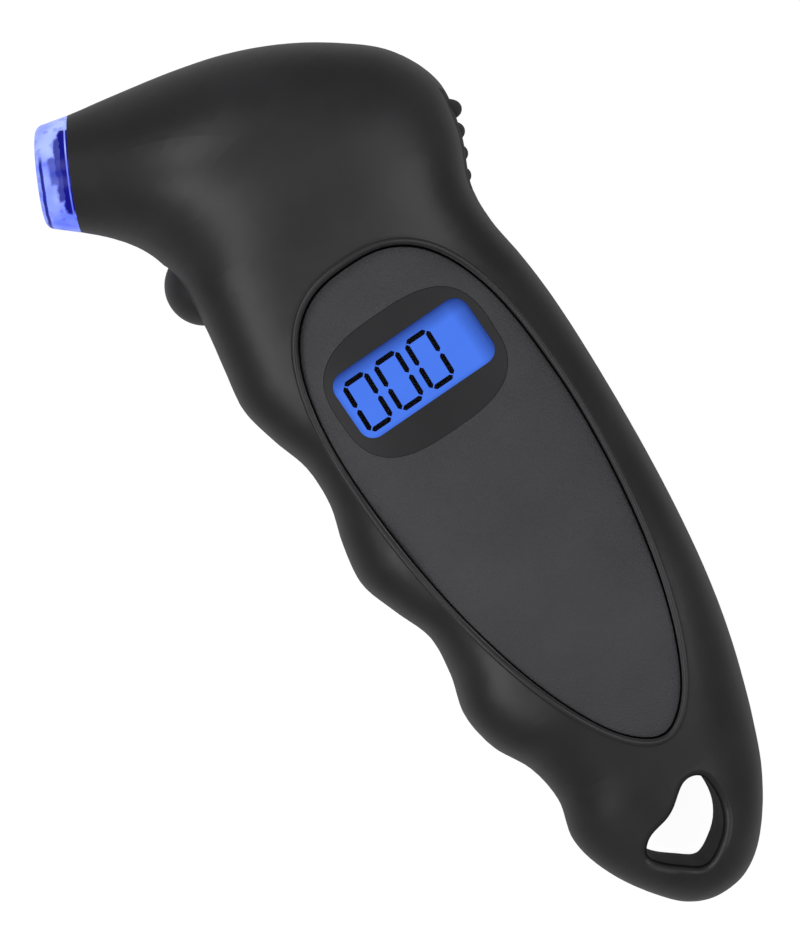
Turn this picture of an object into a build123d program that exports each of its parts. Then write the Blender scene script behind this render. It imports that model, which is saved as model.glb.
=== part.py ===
from build123d import *
import math
import os

os.makedirs("parts", exist_ok=True)

# Millimetres. X runs across the grip, Y towards the head, Z out of the display.

# Half depths of the housing on each side of the parting plane
GRIP_FRONT = 13.2
HEAD_FRONT = 15.8
GRIP_REAR = 13.8
TAIL_DEPTH = 9.0
BACK_FLAT = 0.3
WALL = 2.2

# How square the cross-sections are: 0.5523 is round, 1 is nearly a box
ROUND = 0.5523
TAIL_SQUARE = 0.66
GRIP_SQUARE = 0.86
HEAD_SQUARE = 0.68
SQUARE_SPAN = 0.3
TAIL_BLUNT = 1.6

# Outline of the housing in the parting plane, finger side and palm side
TAIL_TIP = (-2.6, -72.5)
FINGER_TAIL = [(-9.4, -69.8), (-14.6, -62.2)]
FINGER_END = (-16.8, -54.2)
FINGER_WAVES = [(-15.1, -46.6), (-19.7, -32.6), (-17.2, -20.5), (-21.1, -6.4), (-18.0, 8.4), (-21.0, 22.8)]
FINGER_NECK = (-18.9, 35.0)
FINGER_THROAT = [(-18.5, 41.0), (-18.9, 47.2), (-20.8, 51.4)]
PALM_TAIL = [(4.3, -69.8), (9.8, -63.2)]
PALM_END = (14.2, -54.2)
PALM_GRIP = [(18.0, -43.2), (22.2, -22.0), (24.3, 3.0), (24.0, 20.0)]
PALM_NECK = (23.9, 31.0)
PALM_HEAD = [(26.3, 36.9), (27.8, 40.0), (28.5, 43.6), (26.9, 50.8), (19.2, 58.8), (7.4, 65.5), (-6.0, 69.4)]
TAIL_THICKENS = (-68.0, -35.0)
NECK_RISES = (14.0, 48.0)
HEAD_PEAK = 0.38
TAIL_STATIONS = 6
GRIP_STATIONS = 15
HEAD_STATIONS = 9
STATION_GAP = 0.02
BODY_SPAN = (0.03, 3)
CAVITY_SPAN = (1.03, 2.74)
BEAD_SPAN = (1, 2.3)
PANEL_SPAN = (1, 2)

# Nozzle at the end of the head
NOZZLE_RADIUS = 8.4
NOZZLE_ANGLE = 152.0
NOZZLE_CENTRE = (-21.8, 64.4)
TIP_LENGTH = 4.9
TIP_RADIUS = 7.2
TIP_EDGE = 1.3
STEM_RADIUS = 6.6
STEM_LENGTH = 10.0
STEM_FLANGE = 1.1
FLANGE_START = 3.0
FLANGE_WIDTH = 2.0
SOCKET_RADIUS = 4.1
UNDERCUT_RADIUS = 4.6
SOCKET_DEPTH = 9.0
AIR_RADIUS = 1.6
SEAL_WIDTH = 1.8
PIN_RADIUS = 0.8
PIN_REACH = 1.6
PIN_GAP = 0.2
PIN_POINT = 0.25
PIN_BASE_RADIUS = 2.6
PIN_BASE_WIDTH = 1.0
PIN_VENTS = 4
VENT_RADIUS = 0.3
LIGHT_RADIUS = 1.5
LIGHT_LENGTH = 3.8
LIGHT_OFFSET = 4.4
CHAMBER_RADIUS = 5.2
CHAMBER_LENGTH = 8.0
CHAMBER_BORE = 1.5
SENSOR_RADIUS = 3.6
SENSOR_LENGTH = 4.5
SENSOR_SUNK = 2.2
SENSOR_SEAL = 0.9
SENSOR_PORT = 0.6
SENSOR_BOARD = (11.0, 11.0, 1.2)
SENSOR_BOARD_CORNER = 1.5
CRADLE_START = 12.0
CRADLE_WIDTH = 2.4

# Face panel with the display
PANEL_CENTRE = (2.3, 2.3)
PANEL_HALF_WIDTH = 15.8
PANEL_ABOVE = 28.3
PANEL_BELOW = 50.0
PANEL_ROUND_ABOVE = 2.65
PANEL_ROUND_BELOW = 1.82
PANEL_RECESS = 0.35
PANEL_SEAT = 9.2
PANEL_FINGER = [(-16.4, -54.2), (-19.2, -12.0), (-19.6, 35.0)]
LEDGE_WIDTH = 1.2
LEDGE_THICKNESS = 1.5
GROOVE = 0.3
BEAD_WIDTH = 1.0
BEAD_RISE = 0.45
BEZEL_SHIFT = (-0.1, -0.6)
BEZEL_RIM = (1.45, 4.45)
BEZEL_ROUND = 2.9
BEZEL_SEAT = 1.9
WINDOW_CENTRE = (2.2, 13.9)
WINDOW_SIZE = (22.3, 10.4)
WINDOW_CORNER = 2.2
WINDOW_LAP = 1.3
WINDOW_THICKNESS = 1.0
WINDOW_MARGIN = 0.3
BEZEL_SUNK = 0.1
LCD_MARGIN = (1.05, 1.0)
LCD_TERMINALS = 2.8
LCD_THICKNESS = 1.6
BACKLIGHT_INSET = (0.2, 0.3)
BACKLIGHT_THICKNESS = 2.8
STRIP_INSET = (0.7, 0.25)
STRIP_WIDTH = 1.8
HOLDER_WALL = 1.1

# Circuit board behind the display
BOARD_THICKNESS = 1.2
BOARD_X = (-11.4, 16.4)
BOARD_Y = (-9.0, 28.4)
BOARD_CORNER = 3.0
POST_RADIUS = 2.2
POSTS = [(-8.8, -5.0), (13.6, -5.0), (2.2, 25.6)]
BOARD_SCREW = 0.9
BOARD_SCREW_HEAD = (1.7, 1.1)
CHIP_CENTRE = (2.2, 1.0)
CHIP_RADIUS = 5.0
CHIP_HEIGHT = 1.4
CHIP_EDGE = 1.12

# Trigger on the finger side of the neck
TRIGGER_Y = 40.8
BALL_RADIUS = 5.7
BALL_X = -15.6
GUIDE_X = -13.6
TRIGGER_FLANGE = 1.4
FLANGE_LIP = 1.4
PUSHER_RADIUS = 2.0
PUSHER_LENGTH = 3.6
TRIGGER_TRAVEL = 0.5
SWITCH_SIZE = (3.5, 6.0, 6.0)
PLUNGER_RADIUS = 1.7
PLUNGER_REACH = 1.6
PLUNGER_SUNK = 0.4
SWITCH_BOARD = (1.2, 15.0, 16.0)
BOARD_SLOT = 1.5
RIB_HALF = 3.0

# Ribbed pad for the thumb
PAD_MIDDLE = (25.9, 37.2)
PAD_ANGLE = 63.7
PAD_LENGTH = 14.4
PAD_WIDTH = 14.0
PAD_DEPTH = 3.2
PAD_LIP = 1.2
RIB_COUNT = 4
RIB_PITCH = 3.2
RIB_RADIUS = 1.15
RIB_BOW = 10.0
RIB_PROUD = 1.2
RIB_SWEEP = 74.0

# Battery bay in the rear shell
COVER_CENTRE_X = 2.0
COVER_X = 12.2
COVER_Y = (-43.5, 7.2)
COVER_THICKNESS = 1.8
COVER_CORNER = 6.0
COVER_RIM = 1.6
BAY_LAP = 1.6
BAY_SCREW_END = 7.6
COIN_CENTRE = (2.0, -6.0)
COIN_SIZE = (10.0, 3.2)
CELL_RADIUS = 5.8
CELL_LENGTH = 5.4
CELL_COUNT = 3
CELL_Y = -28.2
CELL_PLAY = 0.4
CONTACT = 0.3
CONTACT_RADIUS = 8.0
CELL_EDGE = 0.4
TRAY_WALL = 1.2
TRAY_LAP = 1.0
COVER_SCREW = (2.0, -40.0)
COVER_BOSS = 3.0
COVER_BOSS_TOP = 9.5
COVER_BOSS_ROOF = 1.0
COVER_SINK = 1.1
COVER_HEAD = 0.9

# Screws that hold the shells together
CASE_SCREWS = [(0.4, 63.4), (17.6, 49.6), (-15.2, 24.0), (-8.6, -49.4), (9.4, -48.4)]
SCREW_RADIUS = 1.1
SCREW_HEAD = (2.1, 1.5)
SCREW_LENGTH = 9.0
SCREW_SEAT = 7.5
PILOT_END = 0.5
BOSS_RADIUS = 3.6
SINK_RADIUS = 2.5

# Strap hole through the tail
STRAP_NOTCH = [(-8.3, -59.6), (-6.9, -58.8), (-4.3, -58.2), (-2.4, -57.3), (-0.7, -56.0), (1.3, -55.1)]
STRAP_BULGE = [(3.1, -55.8), (3.6, -57.8), (3.2, -61.0), (1.6, -63.9), (-1.1, -66.0)]
STRAP_LOWER = [(-3.3, -66.7), (-5.6, -65.3), (-8.3, -62.9), (-9.2, -61.0)]
STRAP_LIP = 0.9

# Fits, and how far cuts run past the faces that they open
CLEARANCE = 0.05
SLIDE = 0.08
OVERCUT = 1.0
HEADROOM = 5.0
AROUND = 80.0

PARTING = GRIP_REAR - BACK_FLAT
NOZZLE_AXIS = Vector(1, 0, 0).rotate(Axis.Z, NOZZLE_ANGLE)
NOZZLE_ACROSS = Vector(1, 0, 0).rotate(Axis.Z, NOZZLE_ANGLE - 90)
NOZZLE_SEAM = Vector(*NOZZLE_CENTRE, PARTING)
SEAM_FINGER = NOZZLE_SEAM - NOZZLE_ACROSS * NOZZLE_RADIUS
SEAM_PALM = NOZZLE_SEAM + NOZZLE_ACROSS * NOZZLE_RADIUS
SOCKET_FLOOR = TIP_LENGTH - SOCKET_DEPTH
TRIGGER_CENTRE = (TRIGGER_Y, PARTING)


def ease(start, end, share):
    """A smooth step from one value to another as the share goes from 0 to 1."""
    share = min(max(share, 0), 1)
    return start + (end - start) * share * share * (3 - 2 * share)


def edge_line(points, tangents):
    """One smooth stretch of the outline, seen from the front."""
    with BuildLine() as line:
        Spline(*points, tangents=tangents)
    return line.edges()[0]


UP = (0, 1)
PALM_TURN = (0.36, 0.93)
NECK_TURN = (0.1, 1)
PALM_NECK_TURN = (0.25, 1)
FINGER_SEAM_TURN = (-0.73, 0.68)
PALM_SEAM_TURN = (-0.98, 0.2)
PANEL_TURN = (-0.2, 1)
WAVE_TURNS = [UP] * (len(FINGER_WAVES) + 1)
FINGER_EDGES = (
    edge_line([TAIL_TIP, *FINGER_TAIL, FINGER_END], [(-1, 0), UP]),
    edge_line([FINGER_END, *FINGER_WAVES, FINGER_NECK], [*WAVE_TURNS, NECK_TURN]),
    edge_line([FINGER_NECK, *FINGER_THROAT, (SEAM_FINGER.X, SEAM_FINGER.Y)], [NECK_TURN, FINGER_SEAM_TURN]))
PALM_EDGES = (
    edge_line([TAIL_TIP, *PALM_TAIL, PALM_END], [(1, 0), PALM_TURN]),
    edge_line([PALM_END, *PALM_GRIP, PALM_NECK], [PALM_TURN, PALM_NECK_TURN]),
    edge_line([PALM_NECK, *PALM_HEAD, (SEAM_PALM.X, SEAM_PALM.Y)], [PALM_NECK_TURN, PALM_SEAM_TURN]))
PANEL_EDGES = (FINGER_EDGES[0], edge_line(PANEL_FINGER, [PANEL_TURN, UP]), FINGER_EDGES[2])


def station_marks(first, last):
    """Stations along the tail (0 to 1), the grip (1 to 2) and the head (2 to 3)."""
    marks = [(i / TAIL_STATIONS) ** 2 for i in range(1, TAIL_STATIONS)]
    marks += [1 + i / GRIP_STATIONS for i in range(GRIP_STATIONS)]
    marks += [2 + i / HEAD_STATIONS for i in range(HEAD_STATIONS + 1)]
    inner = [mark for mark in marks if first + STATION_GAP < mark < last - STATION_GAP]
    return [first, *inner, last]


def half_depth(y, side):
    """How far one side reaches from the parting plane, before the head turns to the nozzle."""
    grip = GRIP_REAR if side == "rear" else GRIP_FRONT
    start, end = TAIL_THICKENS
    depth = ease(TAIL_DEPTH, grip, (y - start) / (end - start))
    if side == "front":
        start, end = NECK_RISES
        depth += ease(0, HEAD_FRONT - GRIP_FRONT, (y - start) / (end - start))
    return depth


def section_net(mark, inset, side):
    """Seven control points over one side of the housing, from the finger edge to the palm edge."""
    finger_edges = PANEL_EDGES if side == "panel" else FINGER_EDGES
    stretch = min(int(mark), 2)
    share = mark - stretch
    finger_share = share + share * (1 - share) ** 2 if stretch == 2 else share
    base = Vector(0, 0, PARTING)
    left = base + finger_edges[stretch].position_at(finger_share)
    right = base + PALM_EDGES[stretch].position_at(share)
    middle = (left + right) / 2
    depth = half_depth(middle.Y, side)
    square = ease(TAIL_SQUARE, GRIP_SQUARE, (mark - 1) / SQUARE_SPAN)
    if stretch == 0:
        reach = share * finger_edges[0].length / (TAIL_BLUNT * TAIL_DEPTH)
        depth *= math.sin(math.pi / 2 * min(reach, 1))
        square = ease(ROUND, TAIL_SQUARE, share)
    if stretch == 2:
        turn = max(share - HEAD_PEAK, 0) / (1 - HEAD_PEAK)
        square = ease(GRIP_SQUARE, HEAD_SQUARE, share / HEAD_PEAK)
        square += (ROUND - square) * turn
        depth -= (depth - NOZZLE_RADIUS) * (1 - math.cos(math.pi / 2 * turn))
    along = (right - left).normalized() * inset
    left += along
    right -= along
    half = (right - left) / 2
    rise = Vector(0, 0, (depth - inset) * (-1 if side == "rear" else 1))
    return [
        left,
        left + rise * square,
        middle - half * square + rise,
        middle + rise,
        middle + half * square + rise,
        right + rise * square,
        right]


def half_body(first, last, inset, side):
    """One side of the housing form as smooth patches between its stations, closed by flat faces."""
    nets = [section_net(mark, inset, side) for mark in station_marks(first, last)]
    steps = [(b[3] - a[3]).length for a, b in zip(nets, nets[1:])]
    chords = [[(b - a) / step for a, b in zip(*pair)] for pair, step in zip(zip(nets, nets[1:]), steps)]
    slopes = [chords[0]]
    for i in range(1, len(steps)):
        before, after = steps[i - 1], steps[i]
        blend = [(a * after + b * before) / (before + after) for a, b in zip(chords[i - 1], chords[i])]
        slopes.append(blend)
    slopes.append(chords[-1])
    faces = []
    rim = []
    for i, step in enumerate(steps):
        rows = []
        for start, end, leave, arrive in zip(nets[i], nets[i + 1], slopes[i], slopes[i + 1]):
            rows.append([start, start + leave * (step / 3), end - arrive * (step / 3), end])
        faces.append(Face.make_bezier_surface(rows[:4]))
        faces.append(Face.make_bezier_surface(rows[3:]))
        rim.append(Edge.make_bezier(*rows[0]))
        rim.append(Edge.make_bezier(*rows[6]))
    for net in (nets[0], nets[-1]):
        base = Edge.make_line(net[0], net[6])
        faces.append(Face(Wire([Edge.make_bezier(*net[:4]), Edge.make_bezier(*net[3:]), base])))
        rim.append(base)
    faces.append(Face(Wire(rim)))
    return Solid(Shell(faces))


def oval(plane, centre, half_width, above, below, round_above, round_below, count=24):
    """A closed oval whose upper and lower halves have their own reach and roundness."""
    points = []
    for i in range(count):
        turn = 2 * math.pi * i / count
        reach, power = (above, 2 / round_above) if math.sin(turn) >= 0 else (below, 2 / round_below)
        x = math.copysign(abs(math.cos(turn)) ** power, math.cos(turn))
        y = math.copysign(abs(math.sin(turn)) ** power, math.sin(turn))
        points.append((centre[0] + half_width * x, centre[1] + reach * y))
    with BuildSketch(plane) as sketch:
        with BuildLine():
            Spline(*points, periodic=True)
        make_face()
    return sketch.sketch


def panel_oval(height, grow):
    """The outline of the face panel, grown or shrunk, at one height."""
    return oval(
        Plane.XY.offset(height), PANEL_CENTRE, PANEL_HALF_WIDTH + grow, PANEL_ABOVE + grow,
        PANEL_BELOW + grow, PANEL_ROUND_ABOVE, PANEL_ROUND_BELOW)


def panel_ring(outer, inner, bottom):
    """A block, or a ring where an inner outline is given, that follows the face panel upwards."""
    with BuildPart() as ring:
        add(panel_oval(bottom, outer))
        extrude(amount=ABOVE_ALL - bottom)
        if inner is not None:
            add(panel_oval(bottom, inner))
            extrude(amount=ABOVE_ALL - bottom, mode=Mode.SUBTRACT)
    return ring.part


def nozzle_plane(distance):
    """A plane across the nozzle, at a distance outwards from its seam."""
    return Plane(origin=NOZZLE_SEAM + NOZZLE_AXIS * distance, x_dir=NOZZLE_ACROSS, z_dir=NOZZLE_AXIS)


def nozzle_rod(start, end, radius):
    """A round bar along the nozzle between two distances from its seam."""
    with BuildPart() as rod:
        with BuildSketch(nozzle_plane(start)):
            Circle(radius)
        extrude(amount=end - start)
    return rod.part


def x_rod(start, end, radius, centre=TRIGGER_CENTRE):
    """A round bar along X between two places."""
    with BuildPart() as rod:
        with BuildSketch(Plane(origin=(start, *centre), x_dir=(0, 1, 0), z_dir=(1, 0, 0))):
            Circle(radius)
        extrude(amount=end - start)
    return rod.part


def upright(centre, radius, bottom, top):
    """A round bar along Z."""
    with BuildPart() as rod:
        with BuildSketch(Plane.XY.offset(bottom)):
            with Locations(centre):
                Circle(radius)
        extrude(amount=top - bottom)
    return rod.part


def block(x_range, y_range, z_range, corner=0):
    """A block between the given limits, with round upright corners where asked."""
    width = x_range[1] - x_range[0]
    depth = y_range[1] - y_range[0]
    with BuildPart() as solid:
        with BuildSketch(Plane.XY.offset(z_range[0])):
            with Locations(((x_range[0] + x_range[1]) / 2, (y_range[0] + y_range[1]) / 2)):
                if corner:
                    RectangleRounded(width, depth, corner)
                else:
                    Rectangle(width, depth)
        extrude(amount=z_range[1] - z_range[0])
    return solid.part


def grown(limits, grow):
    """A pair of limits moved apart by the same amount at both ends."""
    return (limits[0] - grow, limits[1] + grow)


def finish(builder, name):
    """Label a piece and write it."""
    builder.part.label = name
    export_step(builder.part, "parts/" + name + ".step")


# Heights of the display stack, from the panel down
PANEL_SEAT_Z = PARTING + PANEL_SEAT
LEDGE_Z = PANEL_SEAT_Z - LEDGE_THICKNESS
LCD_Z = PANEL_SEAT_Z - LCD_THICKNESS
BEZEL_SEAT_Z = PANEL_SEAT_Z + BEZEL_SEAT
WINDOW_TOP = PANEL_SEAT_Z + WINDOW_THICKNESS
BOARD_TOP = LCD_Z - BACKLIGHT_THICKNESS
BOARD_BOTTOM = BOARD_TOP - BOARD_THICKNESS
ABOVE_ALL = PARTING + HEAD_FRONT + HEADROOM

# Outlines of the display stack, from the window outwards
WINDOW_X = (WINDOW_CENTRE[0] - WINDOW_SIZE[0] / 2, WINDOW_CENTRE[0] + WINDOW_SIZE[0] / 2)
WINDOW_Y = (WINDOW_CENTRE[1] - WINDOW_SIZE[1] / 2, WINDOW_CENTRE[1] + WINDOW_SIZE[1] / 2)
LCD_X = (WINDOW_X[0] - LCD_MARGIN[0], WINDOW_X[1] + LCD_MARGIN[0])
LCD_Y = (WINDOW_Y[0] - LCD_TERMINALS, WINDOW_Y[1] + LCD_MARGIN[1])
STRIP_X = (LCD_X[0] + STRIP_INSET[0], LCD_X[1] - STRIP_INSET[0])
STRIP_Y = (LCD_Y[0] + STRIP_INSET[1], LCD_Y[0] + STRIP_INSET[1] + STRIP_WIDTH)
BACKLIGHT_X = (LCD_X[0] + BACKLIGHT_INSET[0], LCD_X[1] - BACKLIGHT_INSET[0])
BACKLIGHT_Y = (STRIP_Y[1] + CLEARANCE, LCD_Y[1] - BACKLIGHT_INSET[1])

# Places along the trigger
FLANGE_BACK = GUIDE_X + TRIGGER_FLANGE
PUSHER_END = FLANGE_BACK + PUSHER_LENGTH
OUTSIDE = BALL_X - 2 * BALL_RADIUS
PLUNGER_FRONT = PUSHER_END + CLEARANCE
SWITCH_FRONT = PLUNGER_FRONT + PLUNGER_REACH
SWITCH_BACK = SWITCH_FRONT + SWITCH_SIZE[0]
SWITCH_BOARD_BACK = SWITCH_BACK + SWITCH_BOARD[0]
SWITCH_BOARD_HALF = SWITCH_BOARD[2] / 2
SWITCH_BOARD_Y = (TRIGGER_Y - SWITCH_BOARD[1] / 2, TRIGGER_Y + SWITCH_BOARD[1] / 2)

# Places along the nozzle
FLANGE_END = -FLANGE_START - FLANGE_WIDTH
SEAL_END = SOCKET_FLOOR + SEAL_WIDTH
PIN_BASE = -STEM_LENGTH - PIN_BASE_WIDTH
PIN_END = SEAL_END + PIN_REACH
UNDERCUT_END = PIN_END + PIN_GAP
CHAMBER_END = -STEM_LENGTH - CHAMBER_LENGTH
SENSOR_FRONT = CHAMBER_END + SENSOR_SUNK

# Battery bay
BAY_X = (COVER_CENTRE_X - COVER_X + BAY_LAP, COVER_CENTRE_X + COVER_X - BAY_LAP)
BAY_Y = (COVER_Y[0] + BAY_SCREW_END, COVER_Y[1] - BAY_LAP)
BAY_Z = COVER_THICKNESS + COVER_RIM
COIN_Z = COVER_THICKNESS + CELL_PLAY
COIN_TOP = COIN_Z + COIN_SIZE[1]
CELL_Z = COVER_THICKNESS + CELL_PLAY + CELL_RADIUS
STACK_HALF = CELL_COUNT * CELL_LENGTH / 2
COVER_SCREW_END = COVER_BOSS_TOP - COVER_BOSS_ROOF
SCREW_END = SCREW_SEAT + SCREW_LENGTH

PAD_ALONG = Vector(1, 0, 0).rotate(Axis.Z, PAD_ANGLE)
PAD_OUT = Vector(1, 0, 0).rotate(Axis.Z, PAD_ANGLE - 90)
PAD_PLANE = Plane(origin=(*PAD_MIDDLE, PARTING), x_dir=PAD_ALONG, z_dir=PAD_OUT)


def pad_block(start, end, margin):
    """A block through the palm wall behind the thumb pad, between two distances from the outline."""
    with BuildPart() as solid:
        with BuildSketch(PAD_PLANE.offset(start)):
            Rectangle(PAD_LENGTH + 2 * margin, PAD_WIDTH + 2 * margin)
        extrude(amount=end - start)
    return solid.part


def cover_block(grow, bottom, top):
    """The outline of the battery cover as a block, grown on every side."""
    x_range = (COVER_CENTRE_X - COVER_X - grow, COVER_CENTRE_X + COVER_X + grow)
    return block(x_range, grown(COVER_Y, grow), (bottom, top), COVER_CORNER)


def strap_hole():
    """The hole in the tail for a wrist strap, through both shells."""
    with BuildPart() as hole:
        with BuildSketch():
            with BuildLine():
                Spline(*STRAP_NOTCH, *STRAP_BULGE, *STRAP_LOWER, periodic=True)
            make_face()
        extrude(amount=ABOVE_ALL)
    return hole.part


def cradle():
    """The rib that carries the air chamber, whole."""
    with BuildPart() as rib:
        with BuildSketch(nozzle_plane(-CRADLE_START)):
            Rectangle(2 * CHAMBER_RADIUS + 2 * WALL, 2 * ABOVE_ALL)
        extrude(amount=-CRADLE_WIDTH)
    return rib.part


def hollow(side):
    """The space inside one shell, less the ribs, bosses and seats that stand in it."""
    rib_x = (SWITCH_BACK - TRAY_WALL, SWITCH_BOARD_BACK + TRAY_WALL)
    rib_y = (TRIGGER_Y - RIB_HALF, TRIGGER_Y + RIB_HALF)
    reach = SWITCH_BOARD_HALF - BOARD_SLOT
    standing = [upright(centre, BOSS_RADIUS, 0, ABOVE_ALL) for centre in CASE_SCREWS]
    standing += [cradle(), x_rod(OUTSIDE, GUIDE_X, BALL_RADIUS + WALL), pad_block(-PAD_DEPTH, WALL, WALL)]
    if side == "front":
        standing.append(block(rib_x, rib_y, (PARTING + reach, ABOVE_ALL)))
        standing.append(panel_ring(BEAD_WIDTH, None, LEDGE_Z))
    else:
        standing.append(block(rib_x, rib_y, (-OVERCUT, PARTING - reach)))
        standing.append(cover_block(WALL / 2, -OVERCUT, BAY_Z))
        standing.append(upright(COVER_SCREW, COVER_BOSS, -OVERCUT, COVER_BOSS_TOP))
    with BuildPart() as space:
        add(half_body(*CAVITY_SPAN, WALL, side))
        add(standing, mode=Mode.SUBTRACT)
    return space.part


def holed_body(side):
    """The outer form of one side with the strap hole through it and a rounded lip round the opening."""
    with BuildPart() as holed:
        add(half_body(*BODY_SPAN, 0, side))
        add(strap_hole(), mode=Mode.SUBTRACT)
        curves = holed.edges().filter_by(GeomType.BSPLINE)
        rim = [edge for edge in curves if abs(edge.center().Z - PARTING) > TAIL_DEPTH / 2]
        fillet(rim, STRAP_LIP)
    return holed.part


# The outer forms, whole, the rear one with a flat to rest on
front_body = holed_body("front")
with BuildPart() as rear_form:
    add(holed_body("rear"))
    add(block((-AROUND, AROUND), (-AROUND, AROUND), (-HEADROOM, 0)), mode=Mode.SUBTRACT)
rear_body = rear_form.part

# Openings that both shells share: nozzle seat, air chamber, trigger guide, board slots and pad
shared_cuts = [
    nozzle_rod(-STEM_LENGTH, OVERCUT, STEM_RADIUS + CLEARANCE),
    nozzle_rod(FLANGE_END - CLEARANCE, -FLANGE_START + CLEARANCE, STEM_RADIUS + STEM_FLANGE + CLEARANCE),
    nozzle_rod(CHAMBER_END - WALL, -STEM_LENGTH, CHAMBER_RADIUS + CLEARANCE),
    x_rod(OUTSIDE, GUIDE_X, BALL_RADIUS + SLIDE),
    block((SWITCH_BACK - CLEARANCE, SWITCH_BOARD_BACK + CLEARANCE), SWITCH_BOARD_Y,
          (PARTING - SWITCH_BOARD_HALF - CLEARANCE, PARTING + SWITCH_BOARD_HALF + CLEARANCE)),
    pad_block(-PAD_DEPTH, 2 * WALL, CLEARANCE),
    pad_block(-PAD_DEPTH - PAD_LIP - CLEARANCE, -PAD_DEPTH, PAD_LIP + CLEARANCE)]
screw_hole = SCREW_RADIUS + CLEARANCE

# Front shell, with the raised bead round the face panel
with BuildPart() as bead:
    add(half_body(*BEAD_SPAN, -BEAD_RISE, "front"))
    add(panel_ring(GROOVE + BEAD_WIDTH, GROOVE, PANEL_SEAT_Z + BEAD_RISE), mode=Mode.INTERSECT)
pilot = (PARTING - OVERCUT, SCREW_END + PILOT_END)
front_cuts = [upright(centre, screw_hole, *pilot) for centre in CASE_SCREWS]
front_cuts.append(panel_ring(GROOVE, None, PANEL_SEAT_Z))
front_cuts.append(panel_ring(-LEDGE_WIDTH, None, LEDGE_Z - OVERCUT))
with BuildPart() as front_shell:
    add(front_body)
    add(hollow("front"), mode=Mode.SUBTRACT)
    add(shared_cuts + front_cuts, mode=Mode.SUBTRACT)
    add(bead.part)
finish(front_shell, "front_shell")

# Rear shell, with the battery bay and the sunk screw holes
passage = (SCREW_SEAT - OVERCUT, PARTING + OVERCUT)
rear_cuts = [upright(centre, SINK_RADIUS, -OVERCUT, SCREW_SEAT) for centre in CASE_SCREWS]
rear_cuts += [upright(centre, screw_hole, *passage) for centre in CASE_SCREWS]
rear_cuts.append(cover_block(CLEARANCE, -OVERCUT, COVER_THICKNESS))
rear_cuts.append(block(BAY_X, BAY_Y, (-OVERCUT, BAY_Z + OVERCUT), COVER_CORNER - BAY_LAP))
rear_cuts.append(upright(COVER_SCREW, screw_hole, -OVERCUT, COVER_SCREW_END + CLEARANCE))
with BuildPart() as rear_shell:
    add(rear_body)
    add(hollow("rear"), mode=Mode.SUBTRACT)
    add(shared_cuts + rear_cuts, mode=Mode.SUBTRACT)
finish(rear_shell, "rear_shell")

# Face panel: follows the crown of the housing a little below it, on the ledge of the front shell
panel_form = half_body(*PANEL_SPAN, PANEL_RECESS, "panel")
bezel_form = half_body(*PANEL_SPAN, PANEL_RECESS + BEZEL_SUNK, "panel")


def bezel_oval(height, grow):
    """The outline of the display bezel at one height."""
    centre = (WINDOW_CENTRE[0] + BEZEL_SHIFT[0], WINDOW_CENTRE[1] + BEZEL_SHIFT[1])
    half_width = WINDOW_SIZE[0] / 2 + BEZEL_RIM[0] + grow
    half_height = WINDOW_SIZE[1] / 2 + BEZEL_RIM[1] + grow
    plane = Plane.XY.offset(height)
    return oval(plane, centre, half_width, half_height, half_height, BEZEL_ROUND, BEZEL_ROUND)


def window_block(grow, bottom, top):
    """The display window as a block, grown on every side."""
    return block(grown(WINDOW_X, grow), grown(WINDOW_Y, grow), (bottom, top), WINDOW_CORNER)


with BuildPart() as face_panel:
    add(panel_form)
    add(panel_ring(0, None, PANEL_SEAT_Z), mode=Mode.INTERSECT)
    with BuildSketch(Plane.XY.offset(BEZEL_SEAT_Z)):
        add(bezel_oval(0, CLEARANCE))
    extrude(amount=ABOVE_ALL - BEZEL_SEAT_Z, mode=Mode.SUBTRACT)
    add(window_block(WINDOW_MARGIN, PANEL_SEAT_Z - OVERCUT, ABOVE_ALL), mode=Mode.SUBTRACT)
    add(window_block(WINDOW_LAP + CLEARANCE, PANEL_SEAT_Z - OVERCUT, WINDOW_TOP), mode=Mode.SUBTRACT)
    for centre in POSTS:
        add(upright(centre, POST_RADIUS, BOARD_TOP, PANEL_SEAT_Z))
        pilot = (BOARD_TOP - OVERCUT, PANEL_SEAT_Z)
        add(upright(centre, BOARD_SCREW + CLEARANCE, *pilot), mode=Mode.SUBTRACT)
finish(face_panel, "face_panel")

with BuildPart() as window_bezel:
    add(bezel_oval(BEZEL_SEAT_Z, 0))
    extrude(amount=ABOVE_ALL - BEZEL_SEAT_Z)
    add(bezel_form, mode=Mode.INTERSECT)
    add(window_block(0, PANEL_SEAT_Z, ABOVE_ALL), mode=Mode.SUBTRACT)
finish(window_bezel, "window_bezel")

with BuildPart() as display_window:
    add(window_block(WINDOW_LAP, PANEL_SEAT_Z, WINDOW_TOP))
finish(display_window, "display_window")

# Display stack on the circuit board
with BuildPart() as lcd_glass:
    add(block(LCD_X, LCD_Y, (LCD_Z, PANEL_SEAT_Z)))
finish(lcd_glass, "lcd_glass")

with BuildPart() as backlight:
    add(block(BACKLIGHT_X, BACKLIGHT_Y, (BOARD_TOP, LCD_Z)))
finish(backlight, "backlight")

with BuildPart() as contact_strip:
    add(block(STRIP_X, STRIP_Y, (BOARD_TOP, LCD_Z)))
finish(contact_strip, "contact_strip")

with BuildPart() as display_frame:
    opening = (BOARD_TOP - OVERCUT, LCD_Z + OVERCUT)
    add(block(grown(LCD_X, HOLDER_WALL), grown(LCD_Y, HOLDER_WALL), (BOARD_TOP, LCD_Z)))
    add(block(grown(BACKLIGHT_X, CLEARANCE), grown(LCD_Y, -CLEARANCE), opening), mode=Mode.SUBTRACT)
finish(display_frame, "display_frame")

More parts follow.
